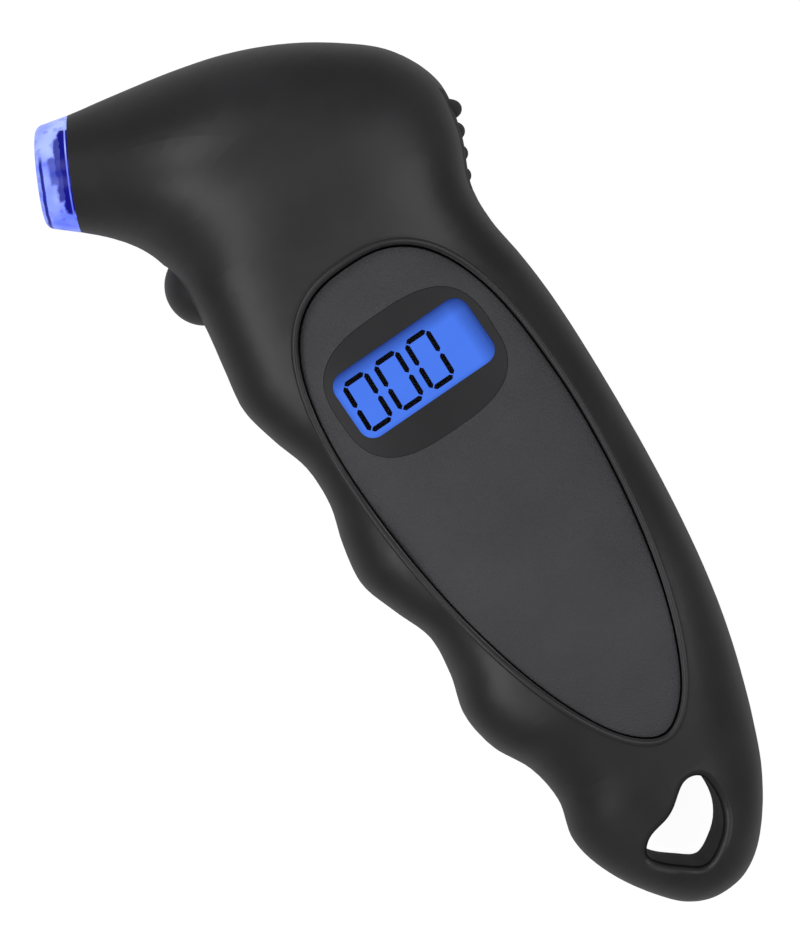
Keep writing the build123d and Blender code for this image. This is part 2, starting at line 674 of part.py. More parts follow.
with BuildPart() as circuit_board:
    add(block(BOARD_X, BOARD_Y, (BOARD_BOTTOM, BOARD_TOP), BOARD_CORNER))
    for centre in POSTS:
        passage = (BOARD_BOTTOM - OVERCUT, BOARD_TOP + OVERCUT)
        add(upright(centre, BOARD_SCREW + CLEARANCE, *passage), mode=Mode.SUBTRACT)
finish(circuit_board, "circuit_board")

with BuildPart() as chip_cover:
    add(upright(CHIP_CENTRE, CHIP_RADIUS, BOARD_BOTTOM - CHIP_HEIGHT, BOARD_BOTTOM))
    fillet(chip_cover.edges().group_by(Axis.Z)[0], CHIP_EDGE)
finish(chip_cover, "chip_cover")

with BuildPart() as board_screws:
    head_radius, head_height = BOARD_SCREW_HEAD
    for centre in POSTS:
        add(upright(centre, head_radius, BOARD_BOTTOM - head_height, BOARD_BOTTOM))
        add(upright(centre, BOARD_SCREW, BOARD_BOTTOM, PANEL_SEAT_Z - CLEARANCE))
finish(board_screws, "board_screws")


def nozzle_turning(points):
    """A piece turned about the nozzle axis from its half profile of distances and radii."""
    with BuildPart() as turned:
        with BuildSketch(Plane(origin=NOZZLE_SEAM, x_dir=NOZZLE_AXIS, z_dir=(0, 0, 1))):
            with BuildLine():
                Polyline(*points, close=True)
            make_face()
        revolve(axis=Axis(NOZZLE_SEAM, NOZZLE_AXIS))
    return turned.part


def lights(grow):
    """The two lamps beside the air bore, in their pockets."""
    with BuildPart() as lamps:
        for height in (LIGHT_OFFSET, -LIGHT_OFFSET):
            with BuildSketch(nozzle_plane(-STEM_LENGTH)):
                with Locations((0, height)):
                    Circle(LIGHT_RADIUS + grow)
            extrude(amount=LIGHT_LENGTH + grow)
    return lamps.part


# Clear nozzle tip with the socket for a tyre valve
with BuildPart() as nozzle_tip:
    add(nozzle_turning([
        (TIP_LENGTH, SOCKET_RADIUS), (TIP_LENGTH, TIP_RADIUS), (0, NOZZLE_RADIUS), (0, STEM_RADIUS),
        (-FLANGE_START, STEM_RADIUS), (-FLANGE_START, STEM_RADIUS + STEM_FLANGE),
        (FLANGE_END, STEM_RADIUS + STEM_FLANGE), (FLANGE_END, STEM_RADIUS), (-STEM_LENGTH, STEM_RADIUS),
        (-STEM_LENGTH, AIR_RADIUS), (SOCKET_FLOOR, AIR_RADIUS), (SOCKET_FLOOR, UNDERCUT_RADIUS),
        (UNDERCUT_END, UNDERCUT_RADIUS), (UNDERCUT_END, SOCKET_RADIUS)]))
    face_edges = nozzle_tip.edges().filter_by(GeomType.CIRCLE).sort_by(Axis(NOZZLE_SEAM, NOZZLE_AXIS))[-2:]
    fillet(face_edges.sort_by(SortBy.RADIUS)[-1], TIP_EDGE)
    chamfer(face_edges.sort_by(SortBy.RADIUS)[0], TIP_EDGE / 3)
    add(lights(CLEARANCE), mode=Mode.SUBTRACT)
finish(nozzle_tip, "nozzle_tip")

with BuildPart() as nozzle_lights:
    add(lights(0))
finish(nozzle_lights, "nozzle_lights")

with BuildPart() as nozzle_seal:
    add(nozzle_rod(SOCKET_FLOOR, SEAL_END, UNDERCUT_RADIUS - CLEARANCE))
    add(nozzle_rod(SOCKET_FLOOR - OVERCUT, SEAL_END + OVERCUT, AIR_RADIUS), mode=Mode.SUBTRACT)
finish(nozzle_seal, "nozzle_seal")

# Brass pin that opens the valve, standing in the air chamber
with BuildPart() as valve_pin:
    add(nozzle_turning([
        (PIN_END, 0), (PIN_END, PIN_RADIUS - PIN_POINT), (PIN_END - PIN_POINT, PIN_RADIUS),
        (-STEM_LENGTH, PIN_RADIUS), (-STEM_LENGTH, PIN_BASE_RADIUS), (PIN_BASE, PIN_BASE_RADIUS),
        (PIN_BASE, 0)]))
    with BuildSketch(nozzle_plane(-STEM_LENGTH)):
        with PolarLocations((PIN_RADIUS + AIR_RADIUS) / 2, PIN_VENTS):
            Circle(VENT_RADIUS)
    extrude(amount=-PIN_BASE_WIDTH, mode=Mode.SUBTRACT)
finish(valve_pin, "valve_pin")

with BuildPart() as air_chamber:
    add(nozzle_turning([
        (-STEM_LENGTH, PIN_BASE_RADIUS + CLEARANCE), (-STEM_LENGTH, CHAMBER_RADIUS),
        (CHAMBER_END, CHAMBER_RADIUS), (CHAMBER_END, SENSOR_RADIUS + CLEARANCE),
        (SENSOR_FRONT + SENSOR_SEAL, SENSOR_RADIUS + CLEARANCE), (SENSOR_FRONT + SENSOR_SEAL, CHAMBER_BORE),
        (PIN_BASE, CHAMBER_BORE), (PIN_BASE, PIN_BASE_RADIUS + CLEARANCE)]))
finish(air_chamber, "air_chamber")

with BuildPart() as sensor_seal:
    sensor_seal_end = SENSOR_FRONT + SENSOR_SEAL
    add(nozzle_rod(SENSOR_FRONT, sensor_seal_end, SENSOR_RADIUS))
    opening = (SENSOR_FRONT - OVERCUT, sensor_seal_end + OVERCUT)
    add(nozzle_rod(*opening, CHAMBER_BORE), mode=Mode.SUBTRACT)
finish(sensor_seal, "sensor_seal")

with BuildPart() as pressure_sensor:
    add(nozzle_rod(SENSOR_FRONT - SENSOR_LENGTH, SENSOR_FRONT, SENSOR_RADIUS))
    with BuildSketch(nozzle_plane(SENSOR_FRONT)):
        Circle(SENSOR_PORT)
    extrude(amount=-SENSOR_SUNK, mode=Mode.SUBTRACT)
finish(pressure_sensor, "pressure_sensor")

with BuildPart() as sensor_board:
    with BuildSketch(nozzle_plane(SENSOR_FRONT - SENSOR_LENGTH)):
        RectangleRounded(SENSOR_BOARD[0], SENSOR_BOARD[1], SENSOR_BOARD_CORNER)
    extrude(amount=-SENSOR_BOARD[2])
finish(sensor_board, "sensor_board")

# Trigger: a ball-nosed button whose flange stops it in the guide of the shells
trigger_axis = Axis((BALL_X, *TRIGGER_CENTRE), (1, 0, 0))
with BuildPart() as trigger_button:
    with BuildSketch(Plane(origin=(BALL_X, *TRIGGER_CENTRE), x_dir=(1, 0, 0), z_dir=(0, 0, 1))):
        with BuildLine():
            RadiusArc((-BALL_RADIUS, 0), (0, BALL_RADIUS), BALL_RADIUS)
            Polyline(
                (0, BALL_RADIUS), (GUIDE_X - BALL_X, BALL_RADIUS),
                (GUIDE_X - BALL_X, BALL_RADIUS + FLANGE_LIP),
                (FLANGE_BACK - BALL_X, BALL_RADIUS + FLANGE_LIP),
                (FLANGE_BACK - BALL_X, PUSHER_RADIUS), (PUSHER_END - BALL_X, PUSHER_RADIUS),
                (PUSHER_END - BALL_X, 0), (-BALL_RADIUS, 0))
        make_face()
    revolve(axis=trigger_axis)
finish(trigger_button, "trigger_button")

switch_y = (TRIGGER_Y - SWITCH_SIZE[1] / 2, TRIGGER_Y + SWITCH_SIZE[1] / 2)
switch_z = (PARTING - SWITCH_SIZE[2] / 2, PARTING + SWITCH_SIZE[2] / 2)
plunger_end = SWITCH_FRONT + PLUNGER_SUNK
with BuildPart() as switch_case:
    add(block((SWITCH_FRONT, SWITCH_BACK), switch_y, switch_z))
    well_end = plunger_end + TRIGGER_TRAVEL + CLEARANCE
    well = x_rod(SWITCH_FRONT - OVERCUT, well_end, PLUNGER_RADIUS + SLIDE)
    add(well, mode=Mode.SUBTRACT)
finish(switch_case, "switch_case")

with BuildPart() as switch_plunger:
    add(x_rod(PLUNGER_FRONT, plunger_end, PLUNGER_RADIUS))
finish(switch_plunger, "switch_plunger")

with BuildPart() as switch_board:
    board_z = (PARTING - SWITCH_BOARD_HALF, PARTING + SWITCH_BOARD_HALF)
    add(block((SWITCH_BACK, SWITCH_BOARD_BACK), SWITCH_BOARD_Y, board_z))
finish(switch_board, "switch_board")

# Thumb pad: fills its window in the palm wall, with four bowed ribs and a lip behind the wall
def pad_half(body):
    """The stretch of one side of the housing that the pad takes the place of."""
    with BuildPart() as half:
        add(body)
        add(pad_block(-PAD_DEPTH, 2 * WALL, 0), mode=Mode.INTERSECT)
    return half.part


with BuildPart() as thumb_pad:
    add([pad_half(front_body), pad_half(rear_body), pad_block(-PAD_DEPTH - PAD_LIP, -PAD_DEPTH, PAD_LIP)])
    for i in range(RIB_COUNT):
        along = PAD_ALONG * RIB_PITCH * (i - (RIB_COUNT - 1) / 2)
        back = PAD_OUT * (RIB_PROUD - RIB_RADIUS - RIB_BOW)
        plane = Plane(origin=PAD_PLANE.origin + along + back, x_dir=PAD_OUT, z_dir=PAD_ALONG)
        with Locations(plane):
            Torus(RIB_BOW, RIB_RADIUS, major_angle=RIB_SWEEP, rotation=(0, 0, -RIB_SWEEP / 2), align=None)
finish(thumb_pad, "thumb_pad")

# Battery bay
tray_x = (BAY_X[0] - TRAY_LAP, BAY_X[1] + TRAY_LAP)
tray_y = (BAY_Y[0] - TRAY_LAP, BAY_Y[1] + TRAY_LAP)
stack_x = (COVER_CENTRE_X - STACK_HALF - CONTACT, COVER_CENTRE_X + STACK_HALF + CONTACT)
stack_centre = (CELL_Y, CELL_Z)
coin_radius = COIN_SIZE[0]
well_radius = CELL_RADIUS + CELL_PLAY / 2
with BuildPart() as battery_tray:
    add(block(tray_x, tray_y, (BAY_Z, BAY_Z + TRAY_WALL), COVER_CORNER - BAY_LAP + TRAY_LAP))
    add(upright(COIN_CENTRE, coin_radius + CELL_PLAY + TRAY_WALL, BAY_Z, COIN_TOP + CONTACT + TRAY_WALL))
    walls = (CELL_Y - well_radius - TRAY_WALL, CELL_Y + well_radius + TRAY_WALL)
    ends = (stack_x[0] - TRAY_WALL, stack_x[1] + TRAY_WALL)
    add(block(ends, walls, (BAY_Z, CELL_Z)))
    add(x_rod(ends[0], ends[1], well_radius + TRAY_WALL, stack_centre))
    add(block(ends, walls, (-HEADROOM, BAY_Z)), mode=Mode.SUBTRACT)
    add(upright(COIN_CENTRE, coin_radius + CELL_PLAY, -OVERCUT, COIN_TOP + CONTACT), mode=Mode.SUBTRACT)
    add(x_rod(stack_x[0], stack_x[1], well_radius, stack_centre), mode=Mode.SUBTRACT)
    mouth = (CELL_Y - well_radius, CELL_Y + well_radius)
    add(block(stack_x, mouth, (-OVERCUT, CELL_Z)), mode=Mode.SUBTRACT)
finish(battery_tray, "battery_tray")

with BuildPart() as coin_cell:
    add(upright(COIN_CENTRE, coin_radius, COIN_Z, COIN_TOP))
    chamfer(coin_cell.edges().group_by(Axis.Z)[-1], CELL_EDGE)
finish(coin_cell, "coin_cell")

with BuildPart() as button_cells:
    for i in range(CELL_COUNT):
        start = COVER_CENTRE_X - STACK_HALF + i * CELL_LENGTH
        add(x_rod(start, start + CELL_LENGTH - CLEARANCE, CELL_RADIUS, stack_centre))
    chamfer(button_cells.edges().filter_by(GeomType.CIRCLE), CELL_EDGE)
finish(button_cells, "button_cells")

with BuildPart() as battery_contacts:
    add(upright(COIN_CENTRE, CONTACT_RADIUS, COIN_TOP, COIN_TOP + CONTACT))
    add(x_rod(stack_x[0], stack_x[0] + CONTACT, CONTACT_RADIUS / 2, stack_centre))
    add(x_rod(stack_x[1] - CONTACT, stack_x[1], CONTACT_RADIUS / 2, stack_centre))
finish(battery_contacts, "battery_contacts")

# Battery cover with its screw, and the screws of the shells
screw_radius, screw_height = SCREW_HEAD
with BuildPart() as battery_cover:
    add(rear_body)
    add(cover_block(0, -OVERCUT, COVER_THICKNESS), mode=Mode.INTERSECT)
    add(upright(COVER_SCREW, screw_hole, -OVERCUT, COVER_BOSS_TOP), mode=Mode.SUBTRACT)
    add(upright(COVER_SCREW, screw_radius + CLEARANCE, -OVERCUT, COVER_SINK), mode=Mode.SUBTRACT)
finish(battery_cover, "battery_cover")

with BuildPart() as cover_screw:
    add(upright(COVER_SCREW, SCREW_RADIUS, COVER_SINK, COVER_SCREW_END))
    add(upright(COVER_SCREW, screw_radius, COVER_SINK - COVER_HEAD, COVER_SINK))
finish(cover_screw, "cover_screw")

with BuildPart() as case_screws:
    for centre in CASE_SCREWS:
        add(upright(centre, screw_radius, SCREW_SEAT - screw_height, SCREW_SEAT))
        add(upright(centre, SCREW_RADIUS, SCREW_SEAT, SCREW_END))
finish(case_screws, "case_screws")
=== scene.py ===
"""Dresses the tyre pressure gauge: finishes, display figures, screws, studio and camera.

Lengths are in millimetres, apart from the lamps, which are in metres.
"""

import logging
import math
from dataclasses import dataclass, field
from enum import Enum
from functools import reduce
from typing import Mapping, Sequence, Union

import bmesh
import bpy
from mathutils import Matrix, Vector
from mathutils.bvhtree import BVHTree


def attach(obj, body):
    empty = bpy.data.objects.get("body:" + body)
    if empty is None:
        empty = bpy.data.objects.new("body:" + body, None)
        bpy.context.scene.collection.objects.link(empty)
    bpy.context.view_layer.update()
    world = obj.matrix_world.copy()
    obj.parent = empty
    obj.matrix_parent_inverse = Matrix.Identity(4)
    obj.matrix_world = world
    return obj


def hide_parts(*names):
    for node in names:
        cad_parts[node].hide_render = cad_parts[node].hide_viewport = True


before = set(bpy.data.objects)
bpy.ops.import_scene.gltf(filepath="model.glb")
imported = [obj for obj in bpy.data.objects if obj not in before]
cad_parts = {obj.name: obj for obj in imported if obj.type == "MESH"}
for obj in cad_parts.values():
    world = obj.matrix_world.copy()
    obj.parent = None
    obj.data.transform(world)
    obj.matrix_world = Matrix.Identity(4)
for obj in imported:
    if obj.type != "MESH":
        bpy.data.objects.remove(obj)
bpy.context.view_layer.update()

LOG = logging.getLogger("gauge")
MM = 0.001
SHARP_ANGLE = math.radians(35)
Point = tuple[float, float]
Colour = tuple[float, float, float]

# Places that more than one part of the dress needs
PARTING = 13.5
WINDOW_CENTRE = (2.2, 13.9)


# Shader graph


class Value:
    """A number that flows through a shader graph and takes part in plain arithmetic."""

    def __init__(self, graph: "Graph", socket: bpy.types.NodeSocket) -> None:
        """Wraps one output socket.

        Args:
            graph: The graph that the socket belongs to.
            socket: The output socket that carries the number.
        """
        self.graph = graph
        self.socket = socket

    def _math(self, operation: str, *others: "Number", clamp: bool = False) -> "Value":
        """Adds one Math node.

        Args:
            operation: The node's operation.
            others: The operands in order.
            clamp: Whether the result is held between 0 and 1.

        Returns:
            The node's result.
        """
        settings = {"operation": operation, "use_clamp": clamp}
        node = self.graph.add("ShaderNodeMath", settings, dict(enumerate(others)))
        return Value(self.graph, node.outputs[0])

    def __add__(self, other: "Number") -> "Value":
        """This value plus another."""
        return self._math("ADD", self, other)

    __radd__ = __add__

    def __mul__(self, other: "Number") -> "Value":
        """This value times another."""
        return self._math("MULTIPLY", self, other)

    __rmul__ = __mul__

    def __sub__(self, other: "Number") -> "Value":
        """This value less another."""
        return self._math("SUBTRACT", self, other)

    def __rsub__(self, other: "Number") -> "Value":
        """Another value less this one."""
        return self._math("SUBTRACT", other, self)

    def __truediv__(self, other: "Number") -> "Value":
        """This value divided by another."""
        return self._math("DIVIDE", self, other)

    def __abs__(self) -> "Value":
        """This value without its sign."""
        return self._math("ABSOLUTE", self)

    def above(self, edge: float, width: float) -> "Value":
        """A soft step.

        Args:
            edge: Where the step starts.
            width: How wide it is.

        Returns:
            0 below the edge, rising to 1 across the width.
        """
        share = (self - edge) / width
        return self._math("ADD", share, 0.0, clamp=True)

    def near(self, place: float, half: float, fade: float) -> "Value":
        """A soft line.

        Args:
            place: The middle of the line.
            half: Half the width over which it is whole.
            fade: The width over which it fades on each side.

        Returns:
            1 on the line, falling to 0 beside it.
        """
        return 1 - abs(self - place).above(half, fade)

    def swing(self) -> "Value":
        """This noise, measured from its middle."""
        return self - 0.5

    def larger(self, other: "Number") -> "Value":
        """The larger of this value and another."""
        return self._math("MAXIMUM", self, other)


Number = Union[Value, float]


class Graph:
    """The nodes of one material."""

    def __init__(self, name: str) -> None:
        """Starts an empty material.

        Args:
            name: The material's name.
        """
        self.material = bpy.data.materials.new(name)
        self.material.use_nodes = True
        self.tree = self.material.node_tree
        self.tree.nodes.clear()
        self.place = self.add("ShaderNodeTexCoord").outputs["Object"]

    def add(
        self,
        kind: str,
        settings: Mapping[str, object] | None = None,
        inputs: Mapping[Union[int, str], object] | None = None,
    ) -> bpy.types.Node:
        """Adds one node.

        Args:
            kind: The node's type.
            settings: Its properties.
            inputs: A value, a wrapped value or a socket for each of its inputs.

        Returns:
            The new node.
        """
        node = self.tree.nodes.new(kind)
        for key, value in (settings or {}).items():
            setattr(node, key, value)
        for key, value in (inputs or {}).items():
            if isinstance(value, Value):
                value = value.socket
            if isinstance(value, bpy.types.NodeSocket):
                self.tree.links.new(value, node.inputs[key])
            else:
                node.inputs[key].default_value = value
        return node

    def noise(self, size: float, detail: float = 2.0, stretch: Sequence[float] = (1, 1, 1)) -> Value:
        """Smooth noise over the object.

        Args:
            size: The size of its patches, in millimetres.
            detail: How many finer layers it has.
            stretch: How much finer it is along each axis.

        Returns:
            A value about 0.5.
        """
        scaled = self.add("ShaderNodeMapping", {}, {"Vector": self.place, "Scale": tuple(stretch)})
        settings = {"noise_dimensions": "3D"}
        inputs = {"Vector": scaled.outputs[0], "Scale": 1 / (size * MM), "Detail": detail}
        return Value(self, self.add("ShaderNodeTexNoise", settings, inputs).outputs[0])

    def axis(self, name: str) -> Value:
        """One coordinate of the place on the object.

        Args:
            name: The axis, X, Y or Z.

        Returns:
            The coordinate, in millimetres.
        """
        split = self.add("ShaderNodeSeparateXYZ", {}, {0: self.place})
        return Value(self, split.outputs[name]) * (1 / MM)

    def blend(self, share: Number, first: Sequence[float], second: Sequence[float]) -> bpy.types.NodeSocket:
        """A colour between two.

        Args:
            share: How much of the second colour there is.
            first: The first colour.
            second: The second colour.

        Returns:
            The mixed colour's socket.
        """
        inputs = {"Factor": share, 6: (*first, 1.0), 7: (*second, 1.0)}
        return self.add("ShaderNodeMix", {"data_type": "RGBA"}, inputs).outputs[2]

    def bump(self, height: Value, depth: float, strength: float = 1.0) -> bpy.types.NodeSocket:
        """A bumped normal.

        Args:
            height: The relief, from 0 to 1.
            depth: How deep it is, in millimetres.
            strength: How strongly it shows.

        Returns:
            The normal's socket.
        """
        inputs = {"Strength": strength, "Distance": depth * MM, "Height": height}
        return self.add("ShaderNodeBump", {}, inputs).outputs[0]

    def surface(self, inputs: Mapping[str, object]) -> bpy.types.Material:
        """Closes the graph with a Principled shader.

        Args:
            inputs: The values or sockets of the shader.

        Returns:
            The finished material.
        """
        shader = self.add("ShaderNodeBsdfPrincipled", {}, inputs)
        self.add("ShaderNodeOutputMaterial", {}, {"Surface": shader.outputs[0]})
        return self.material


def from_screen(red: int, green: int, blue: int) -> Colour:
    """Turns a colour of a screen into a linear one.

    Args:
        red: The red number, from 0 to 255.
        green: The green number.
        blue: The blue number.

    Returns:
        The linear colour.
    """
    shares = (red / 255, green / 255, blue / 255)
    return tuple(c / 12.92 if c <= 0.04045 else ((c + 0.055) / 1.055) ** 2.4 for c in shares)


# Finishes


@dataclass(frozen=True)
class Moulded:
    """Moulded plastic or rubber with an eroded grain, faint handling marks, a little colour drift and,
    where asked, pale specks of painted glint.

    The fine noise is a share of the grain's size and depth. The parting is the height of the line
    where two halves of the mould meet, which shows as a thin groove darkened with painted shade.
    """

    name: str
    colour: Colour
    roughness: float
    grain_size: float
    grain_depth: float
    specular: float = 0.5
    drift: float = 0.12
    marks: float = 0.05
    painted_glints: float = 0.0
    patch: float = 14.0
    drift_from: float = 0.3
    drift_gain: float = 2.5
    fine_size: float = 0.45
    fine_depth: float = 0.3
    glint_from: float = 0.66
    glint_fade: float = 0.06
    grain_rough: float = 0.08
    lift: float = 0.002
    parting: float | None = None
    seam_half: float = 0.05
    seam_fade: float = 0.09
    seam_shade: float = 3.0
    seam_depth: float = 6.0
    seam_dark: float = 0.4

    def make(self) -> bpy.types.Material:
        """Builds the material.

        Returns:
            The finished material.
        """
        graph = Graph(self.name)
        drift = graph.noise(self.patch, 3.0)
        grain = graph.noise(self.grain_size, 1.0)
        fine = graph.noise(self.grain_size * self.fine_size, 0.0)
        pale = tuple(min(1.0, c * (1 + self.drift) + self.lift) for c in self.colour)
        dark = tuple(c * (1 - self.drift) for c in self.colour)
        share = (drift - self.drift_from) * self.drift_gain
        # Painted glints: pale specks of the grain, brightened in the colour.
        if self.painted_glints:
            share = share + fine.above(self.glint_from, self.glint_fade) * self.painted_glints
        rough = self.roughness + drift.swing() * self.marks + grain.swing() * self.grain_rough
        relief = grain * (1 - self.fine_depth) + fine * self.fine_depth
        if self.parting is not None:
            # Painted shade: the seam's groove is darkened in the colour as well as sunk in the relief.
            seam = graph.axis("Z").near(self.parting, self.seam_half, self.seam_fade)
            share = share - seam * self.seam_shade
            relief = relief - seam * self.seam_depth
            dark = tuple(c * self.seam_dark for c in dark)
        return graph.surface({
            "Base Color": graph.blend(share, dark, pale),
            "Roughness": rough,
            "Specular IOR Level": self.specular,
            "Normal": graph.bump(relief, self.grain_depth),
        })


@dataclass(frozen=True)
class Metal:
    """Turned, rolled or plated metal with fine scratches."""

    name: str
    colour: Colour
    roughness: float
    scratch: float = 0.12
    scratch_size: float = 0.5
    stretch: tuple[float, float, float] = (1, 1, 6)
    scratch_depth: float = 0.01
    scratch_strength: float = 0.4
    patch: float = 4.0
    patch_from: float = 0.3
    patch_gain: float = 2.0
    patch_rough: float = 0.1
    tarnish: float = 0.82

    def make(self) -> bpy.types.Material:
        """Builds the material.

        Returns:
            The finished material.
        """
        graph = Graph(self.name)
        lines = graph.noise(self.scratch_size, 3.0, self.stretch)
        stain = graph.noise(self.patch, 2.0)
        dark = tuple(c * self.tarnish for c in self.colour)
        return graph.surface({
            "Base Color": graph.blend((stain - self.patch_from) * self.patch_gain, dark, self.colour),
            "Metallic": 1.0,
            "Roughness": self.roughness + lines.swing() * self.scratch + stain.swing() * self.patch_rough,
            "Normal": graph.bump(lines, self.scratch_depth, self.scratch_strength),
        })


@dataclass(frozen=True)
class Tip:
    """Clear blue plastic over a dark stepped core, with a painted glow that is paler where its walls gather
    the light.

    Each step of the core is how far it reaches from the seam, its radius and how dark it is. The ring
    is a bright line near the seam, and the rim a line of painted shade near the front on the lower side.
    Both are a place, half a width, a fade and a share. Wander makes their edges uneven. The plastic has a
    painted highlight on the upper side, from a place and over a width.
    """

    name: str
    seam: Point
    angle: float
    pale: Colour
    middle: Colour
    deep: Colour
    # Strength of the painted glow: the tip is no lamp
    glow: float = 0.55
    roughness: float = 0.2
    specular: float = 0.15
    steps: tuple[tuple[float, float, float], ...] = ((1.3, 6.0, 1.0), (2.1, 4.4, 0.88), (3.0, 1.9, 0.7))
    step_fade: float = 0.4
    wall_fade: float = 0.5
    ring: tuple[float, float, float, float] = (0.32, 0.05, 0.1, 0.85)
    rim: tuple[float, float, float, float] = (4.1, 0.16, 0.16, 0.95)
    rim_side: tuple[float, float] = (1.2, 1.6)
    wander_size: float = 1.7
    wander_width: float = 2.4
    step_wander: float = 0.55
    rim_wander: float = 0.12
    spot_size: float = 1.5
    spot_from: float = 0.6
    spot_fade: float = 0.06
    spot_share: float = 0.3
    cloud_size: float = 3.4
    cloud_from: float = 0.35
    cloud_gain: float = 1.6
    upper: Point = (0.5, 2.5)
    painted_highlight_gain: float = 0.5
    ripple_size: float = 1.6
    ripple_depth: float = 0.05
    ripple_strength: float = 0.4
    ripple_rough: float = 0.06

    def _core(self, along: Value, across: Value) -> Value:
        """How dark the stepped core is.

        Args:
            along: The distance from the seam.
            across: The distance from the axis.

        Returns:
            0 outside the core, up to 1 in its darkest step.
        """
        masks = []
        for reach, radius, share in self.steps:
            before = 1 - along.above(reach - self.step_fade / 2, self.step_fade)
            within = 1 - across.above(radius - self.wall_fade / 2, self.wall_fade)
            masks.append(before * within * share)
        return reduce(Value.larger, masks)

    def _shade(self, graph: Graph, straight: Value, side: Value) -> Value:
        """How dark the tip is.

        Args:
            graph: The material's graph.
            straight: The distance from the seam.
            side: The distance from the axis, positive on the upper side.

        Returns:
            0 where the plastic is clear, 1 where it is darkest.
        """
        wander = graph.noise(self.wander_size, 3.0).swing() * self.wander_width
        core = self._core(straight + wander * self.step_wander, abs(side + wander))
        *ring, ring_share = self.ring
        *rim, rim_shade_share = self.rim
        # Painted shade: a dark line near the front, on the lower side only.
        front = (straight + wander * self.rim_wander).near(*rim) * (1 - side.above(*self.rim_side))
        spots = graph.noise(self.spot_size, 1.0).above(self.spot_from, self.spot_fade)
        core = core * (1 - straight.near(*ring) * ring_share)
        return core.larger(front * rim_shade_share).larger(spots * self.spot_share)

    def make(self) -> bpy.types.Material:
        """Builds the material.

        Returns:
            The finished material.
        """
        graph = Graph(self.name)
        turn = math.radians(self.angle)
        x = graph.axis("X") - self.seam[0]
        y = graph.axis("Y") - self.seam[1]
        straight = x * math.cos(turn) + y * math.sin(turn)
        side = x * math.sin(turn) - y * math.cos(turn)
        cloud = (graph.noise(self.cloud_size, 1.0) - self.cloud_from) * self.cloud_gain
        # The upper side is paler by a painted highlight.
        body = graph.blend(cloud + side.above(*self.upper) * self.painted_highlight_gain, self.middle, self.pale)
        inputs = {"Factor": self._shade(graph, straight, side), 6: body, 7: (*self.deep, 1.0)}
        colour = graph.add("ShaderNodeMix", {"data_type": "RGBA"}, inputs).outputs[2]
        ripple = graph.noise(self.ripple_size, 1.0)
        # The emission is a painted glow: the tip is no lamp, and its colour stands in for the light that
        # passes through the plastic.
        return graph.surface({
            "Base Color": colour,
            "Emission Color": colour,
            "Emission Strength": self.glow,
            "Specular IOR Level": self.specular,
            "Roughness": self.roughness + ripple.swing() * self.ripple_rough,
            "Normal": graph.bump(ripple, self.ripple_depth, self.ripple_strength),
        })


@dataclass(frozen=True)
class Clear:
    """Clear or tinted plastic."""

    name: str
    colour: Colour
    roughness: float = 0.03
    cover: float = 0.07
    patch: float = 3.0
    haze_rough: float = 0.03
    haze_cover: float = 0.02

    def make(self) -> bpy.types.Material:
        """Builds the material.

        Returns:
            The finished material.
        """
        graph = Graph(self.name)
        haze = graph.noise(self.patch, 2.0).swing()
        return graph.surface({
            "Base Color": (*self.colour, 1.0),
            "Roughness": self.roughness + haze * self.haze_rough,
            "Alpha": self.cover + haze * self.haze_cover,
        })


@dataclass(frozen=True)
class Coated:
    """A coated fibreglass board with a faint weave."""

    name: str
    colour: Colour
    roughness: float = 0.3
    weave: float = 900.0
    weave_rough: float = 0.1
    weave_depth: float = 0.02
    weave_strength: float = 0.3
    pale_gain: float = 1.5
    pale_share: float = 0.6

    def make(self) -> bpy.types.Material:
        """Builds the material.

        Returns:
            The finished material.
        """
        graph = Graph(self.name)
        inputs = {"Vector": graph.place, "Scale": self.weave}
        weave = graph.add("ShaderNodeTexWave", {"bands_direction": "X"}, inputs)
        cross = graph.add("ShaderNodeTexWave", {"bands_direction": "Y"}, inputs)
        cloth = Value(graph, weave.outputs[1]) * 0.5 + Value(graph, cross.outputs[1]) * 0.5
        pale = tuple(c * self.pale_gain for c in self.colour)
        return graph.surface({
            "Base Color": graph.blend(cloth * self.pale_share, self.colour, pale),
            "Roughness": self.roughness + cloth * self.weave_rough,
            "Normal": graph.bump(cloth, self.weave_depth, self.weave_strength),
        })


@dataclass(frozen=True)
class Lit:
    """The lit glass of the display, shaded towards its edges by the frame round it.

    Each shadow is how far inside the edge it starts, how wide it is and how dark.
    """

    name: str
    colour: Colour
    shade: Colour
    centre: Point
    half: Point
    strength: float = 1.1
    roughness: float = 0.5
    specular: float = 0.05
    unlit: float = 0.05
    unlit_shade: Colour = (0.0, 0.0, 0.01)
    cloud_size: float = 6.0
    cloud_share: float = 0.06
    right: tuple[float, float, float] = (2.6, 3.2, 0.75)
    top: tuple[float, float, float] = (2.2, 2.8, 0.85)
    edge: tuple[float, float, float] = (0.6, 1.4, 0.5)

    def _shadow(self, reach: Value, half: float, shadow: tuple[float, float, float]) -> Value:
        """How much light one shadow leaves.

        Args:
            reach: The distance from the display's middle.
            half: Half the display's size in that direction.
            shadow: Where the shadow starts, how wide it is and how dark.

        Returns:
            1 outside the shadow, less inside it.
        """
        inside, width, depth = shadow
        return 1 - reach.above(half - inside, width) * depth

    def make(self) -> bpy.types.Material:
        """Builds the material.

        Returns:
            The finished material.
        """
        graph = Graph(self.name)
        across = graph.axis("X") - self.centre[0]
        along = graph.axis("Y") - self.centre[1]
        wide, tall = self.half
        nearest = abs(across).larger(abs(along) + (wide - tall))
        light = self._shadow(across, wide, self.right) * self._shadow(along, tall, self.top)
        share = 1 - light * self._shadow(nearest, wide, self.edge)
        cloud = graph.noise(self.cloud_size, 2.0) * self.cloud_share
        unlit = tuple(c * self.unlit for c in self.colour)
        return graph.surface({
            "Base Color": graph.blend(share, unlit, self.unlit_shade),
            "Roughness": self.roughness,
            "Specular IOR Level": self.specular,
            "Emission Color": graph.blend(share + cloud, self.colour, self.shade),
            "Emission Strength": self.strength,
        })


